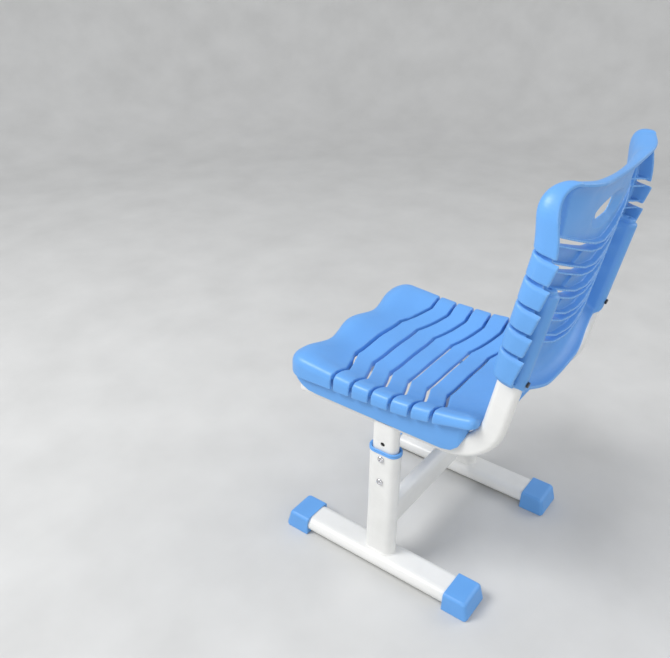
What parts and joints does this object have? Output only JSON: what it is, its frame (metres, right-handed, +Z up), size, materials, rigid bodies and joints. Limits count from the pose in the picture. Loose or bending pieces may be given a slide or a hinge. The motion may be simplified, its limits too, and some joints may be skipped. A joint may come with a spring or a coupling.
{
  "type": "height-adjustable student desk chair",
  "caption": "Height-adjustable school chair: slotted plastic seat and backrest on a flat-oval steel tube frame that slides in a floor base.",
  "frame": {"origin": "on the floor under the middle of the whole chair, midway between its sides and midway between seat front and backrest rear", "axes": "+X towards the sitter's left, +Y backwards from the seat to the backrest, +Z up"},
  "size_m": [0.396, 0.4766, 0.7919],
  "materials": {
    "blue_plastic": "moulded, satin, fine grain",
    "white_powder_coat": "powder coat, satin",
    "bolt_chrome": "bright zinc or chrome plate"
  },
  "bodies": {
    "base": {"foot_tube_left": "white_powder_coat", "foot_tube_right": "white_powder_coat", "boot_front_left": "blue_plastic", "boot_front_right": "blue_plastic", "boot_rear_left": "blue_plastic", "boot_rear_right": "blue_plastic", "post_left": "white_powder_coat", "post_right": "white_powder_coat", "cross_beam": "white_powder_coat", "collar_left": "blue_plastic", "collar_right": "blue_plastic", "clamp_bolts": "bolt_chrome"},
    "upper": {"inner_tube_left": "white_powder_coat", "inner_tube_right": "white_powder_coat", "frame_tube_left": "white_powder_coat", "frame_tube_right": "white_powder_coat", "front_cross_tube": "white_powder_coat", "rear_cross_tube": "white_powder_coat", "seat_pan": "blue_plastic", "seat_screws": "bolt_chrome", "backrest": "blue_plastic", "back_screws": "bolt_chrome"}
  },
  "joints": [
    {"name": "height_slide", "type": "slide", "parent": "base", "child": "upper", "axis": [0, 0, 1], "range_m": [-0.03, 0.06]}
  ]
}
